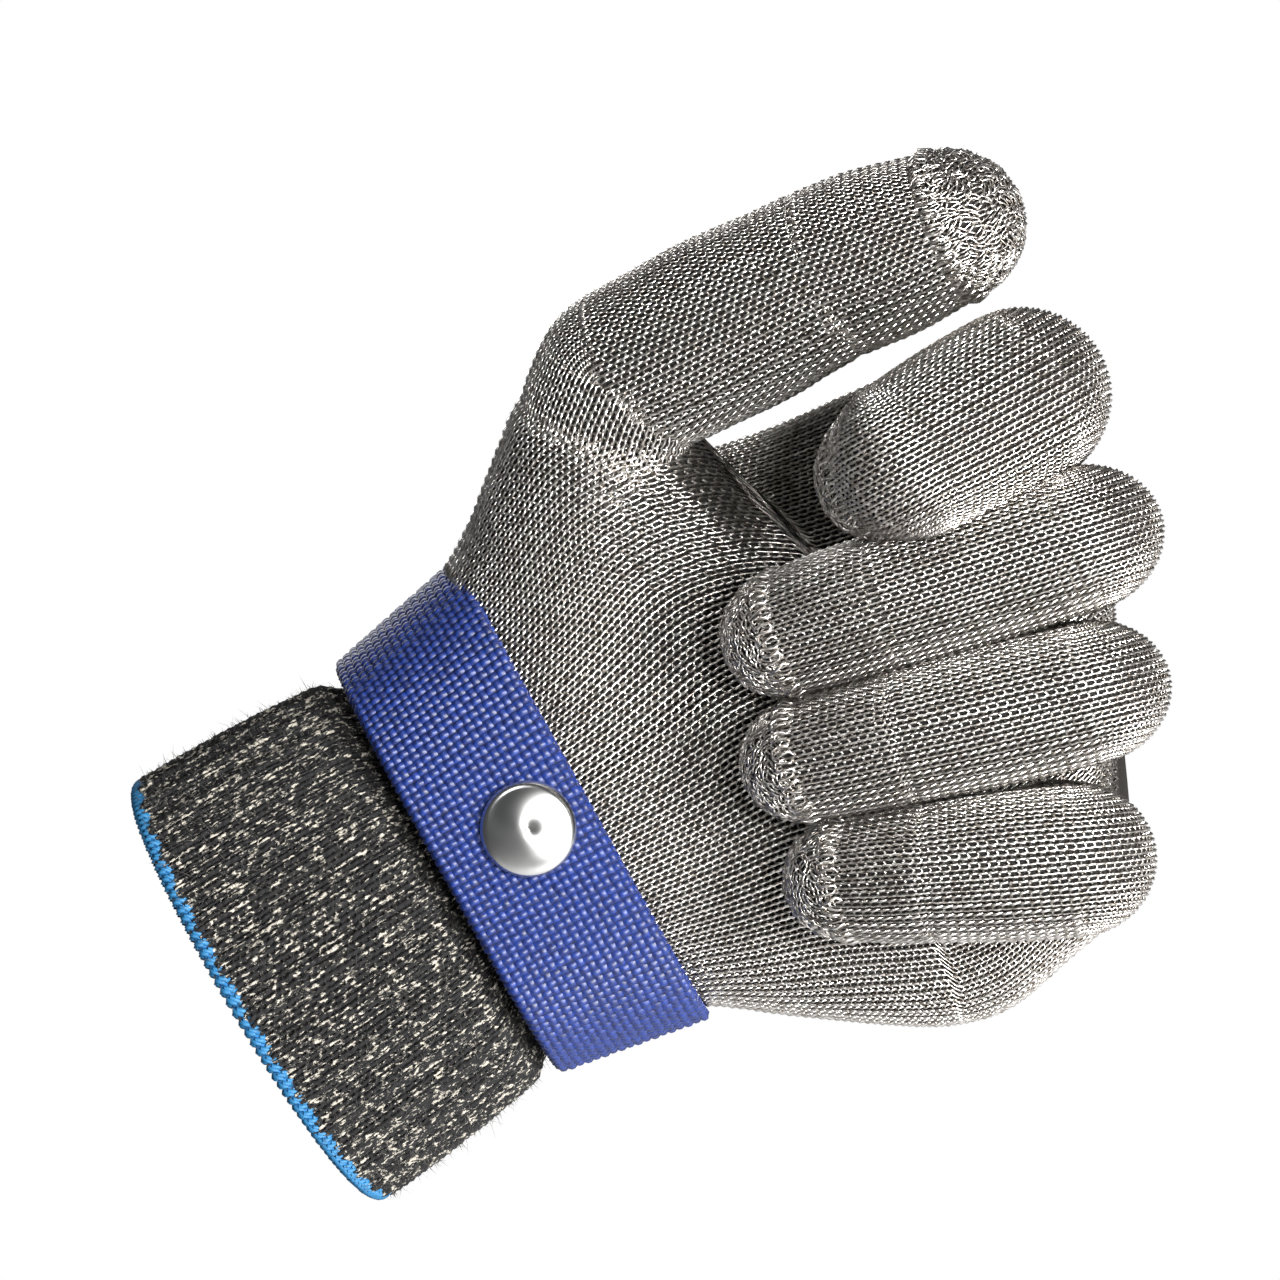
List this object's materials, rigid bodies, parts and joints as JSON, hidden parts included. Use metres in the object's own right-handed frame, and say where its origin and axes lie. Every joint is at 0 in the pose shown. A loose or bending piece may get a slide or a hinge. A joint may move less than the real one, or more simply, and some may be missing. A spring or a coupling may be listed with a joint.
{
  "type": "chain mail glove",
  "caption": "Cut-resistant glove of knitted steel wire over a dark liner, with a blue wrist strap and press stud; left hand, closed in a grip, with jointed fingers.",
  "frame": {"origin": "middle of the cuff's mouth, on the forearm's axis", "axes": "+X along the forearm from the mouth to the knuckles, -Y the palm's side, +Z the thumb's side"},
  "size_m": [0.1535, 0.0803, 0.1129],
  "materials": {
    "steel_mesh": "knitted stainless-steel wire, bright loops over dark gaps",
    "snap_steel": "polished, slightly domed press stud",
    "liner": "fine dark knitted yarn",
    "liner_cuff": "ribbed knit, black with light grey flecks",
    "hem": "sky-blue overlock thread",
    "strap_thread": "blue sewing thread",
    "webbing": "royal-blue woven webbing"
  },
  "bodies": {
    "hand": {"mesh_hand": "steel_mesh", "liner_hand": "liner", "liner_cuff": "liner_cuff", "cuff_hem": "hem", "strap_band": "webbing", "strap_root": "webbing", "strap_box_stitch": "strap_thread", "snap_stud": "snap_steel", "snap_back_plate": "snap_steel", "liner_index": "liner", "liner_middle": "liner", "liner_ring": "liner", "liner_little": "liner", "liner_thumb": "liner", "mesh_index_knuckle_bend": "steel_mesh", "mesh_middle_knuckle_bend": "steel_mesh", "mesh_ring_knuckle_bend": "steel_mesh", "mesh_little_knuckle_bend": "steel_mesh", "mesh_thumb_root_bend": "steel_mesh"},
    "index_proximal": {"mesh_index_proximal": "steel_mesh", "mesh_index_middle_bend": "steel_mesh"},
    "index_middle": {"mesh_index_middle": "steel_mesh", "mesh_index_end_bend": "steel_mesh"},
    "index_tip": {"mesh_index_tip": "steel_mesh", "tip_seam_index": "steel_mesh"},
    "middle_proximal": {"mesh_middle_proximal": "steel_mesh", "mesh_middle_middle_bend": "steel_mesh"},
    "middle_middle": {"mesh_middle_middle": "steel_mesh", "mesh_middle_end_bend": "steel_mesh"},
    "middle_tip": {"mesh_middle_tip": "steel_mesh", "tip_seam_middle": "steel_mesh"},
    "ring_proximal": {"mesh_ring_proximal": "steel_mesh", "mesh_ring_middle_bend": "steel_mesh"},
    "ring_middle": {"mesh_ring_middle": "steel_mesh", "mesh_ring_end_bend": "steel_mesh"},
    "ring_tip": {"mesh_ring_tip": "steel_mesh", "tip_seam_ring": "steel_mesh"},
    "little_proximal": {"mesh_little_proximal": "steel_mesh", "mesh_little_middle_bend": "steel_mesh"},
    "little_middle": {"mesh_little_middle": "steel_mesh", "mesh_little_end_bend": "steel_mesh"},
    "little_tip": {"mesh_little_tip": "steel_mesh", "tip_seam_little": "steel_mesh"},
    "thumb_root": {"mesh_thumb_root": "steel_mesh", "mesh_thumb_knuckle_bend": "steel_mesh"},
    "thumb_proximal": {"mesh_thumb_proximal": "steel_mesh", "mesh_thumb_end_bend": "steel_mesh"},
    "thumb_tip": {"mesh_thumb_tip": "steel_mesh", "tip_seam_thumb": "steel_mesh"},
    "strap_tongue": {"strap_tongue": "webbing", "snap_cap": "snap_steel", "snap_socket": "snap_steel"}
  },
  "joints": [
    {"name": "index_knuckle", "type": "hinge", "parent": "hand", "child": "index_proximal", "pos_m": [0.12, 0.003, 0.0232], "axis": [0, 0, 1], "range_deg": [0, 73], "deforming": ["mesh_index_knuckle_bend", "liner_index"]},
    {"name": "index_middle", "type": "hinge", "parent": "index_proximal", "child": "index_middle", "pos_m": [0.13228, -0.03716, 0.0232], "axis": [0, 0, 1], "range_deg": [0, 84], "deforming": ["mesh_index_middle_bend"]},
    {"name": "index_end", "type": "hinge", "parent": "index_middle", "child": "index_tip", "pos_m": [0.11387, -0.04498, 0.0232], "axis": [0, 0, 1], "range_deg": [0, 76], "deforming": ["mesh_index_end_bend"]},
    {"name": "middle_knuckle", "type": "hinge", "parent": "hand", "child": "middle_proximal", "pos_m": [0.126, 0.004, 0.0018], "axis": [0.1914, 0, 0.9815], "range_deg": [0, 85], "deforming": ["mesh_middle_knuckle_bend", "liner_middle"]},
    {"name": "middle_middle", "type": "hinge", "parent": "middle_proximal", "child": "middle_middle", "pos_m": [0.12976, -0.03983, 0.00107], "axis": [0.1914, 0, 0.9815], "range_deg": [0, 104], "deforming": ["mesh_middle_middle_bend"]},
    {"name": "middle_end", "type": "hinge", "parent": "middle_middle", "child": "middle_tip", "pos_m": [0.10262, -0.03545, 0.00636], "axis": [0.1914, 0, 0.9815], "range_deg": [0, 11], "deforming": ["mesh_middle_end_bend"]},
    {"name": "ring_knuckle", "type": "hinge", "parent": "hand", "child": "ring_proximal", "pos_m": [0.1172, 0.0023, -0.017], "axis": [0.265, 0, 0.9642], "range_deg": [0, 85], "deforming": ["mesh_ring_knuckle_bend", "liner_ring"]},
    {"name": "ring_middle", "type": "hinge", "parent": "ring_proximal", "child": "ring_middle", "pos_m": [0.12065, -0.03854, -0.01795], "axis": [0.265, 0, 0.9642], "range_deg": [0, 103], "deforming": ["mesh_ring_middle_bend"]},
    {"name": "ring_end", "type": "hinge", "parent": "ring_middle", "child": "ring_tip", "pos_m": [0.09582, -0.03492, -0.01112], "axis": [0.265, 0, 0.9642], "range_deg": [0, 12], "deforming": ["mesh_ring_end_bend"]},
    {"name": "little_knuckle", "type": "hinge", "parent": "hand", "child": "little_proximal", "pos_m": [0.1055, -0.0018, -0.0357], "axis": [0.4063, 0, 0.9137], "range_deg": [0, 85], "deforming": ["mesh_little_knuckle_bend", "liner_little"]},
    {"name": "little_middle", "type": "hinge", "parent": "little_proximal", "child": "little_middle", "pos_m": [0.10821, -0.03567, -0.0369], "axis": [0.4063, 0, 0.9137], "range_deg": [0, 101], "deforming": ["mesh_little_middle_bend"]},
    {"name": "little_end", "type": "hinge", "parent": "little_middle", "child": "little_tip", "pos_m": [0.09003, -0.03358, -0.02882], "axis": [0.4063, 0, 0.9137], "range_deg": [0, 14], "deforming": ["mesh_little_end_bend"]},
    {"name": "thumb_root", "type": "hinge", "parent": "hand", "child": "thumb_root", "pos_m": [0.0685, -0.0117, 0.0367], "axis": [0.6155, -0.1203, -0.7789], "range_deg": [0, 20], "deforming": ["mesh_thumb_root_bend", "liner_thumb"]},
    {"name": "thumb_knuckle", "type": "hinge", "parent": "thumb_root", "child": "thumb_proximal", "pos_m": [0.086, -0.018, 0.0515], "axis": [-0.2814, -0.9567, -0.0746], "range_deg": [0, 41], "deforming": ["mesh_thumb_knuckle_bend"]},
    {"name": "thumb_end", "type": "hinge", "parent": "thumb_proximal", "child": "thumb_tip", "pos_m": [0.117, -0.027, 0.05], "axis": [-0.2814, -0.9567, -0.0746], "range_deg": [-7, 5], "deforming": ["mesh_thumb_end_bend"]},
    {"name": "strap_fold", "type": "hinge", "parent": "hand", "child": "strap_tongue", "pos_m": [0.04175, 0, 0.03825], "axis": [-0.9762, 0, -0.2169], "range_deg": [0, 110]}
  ]
}
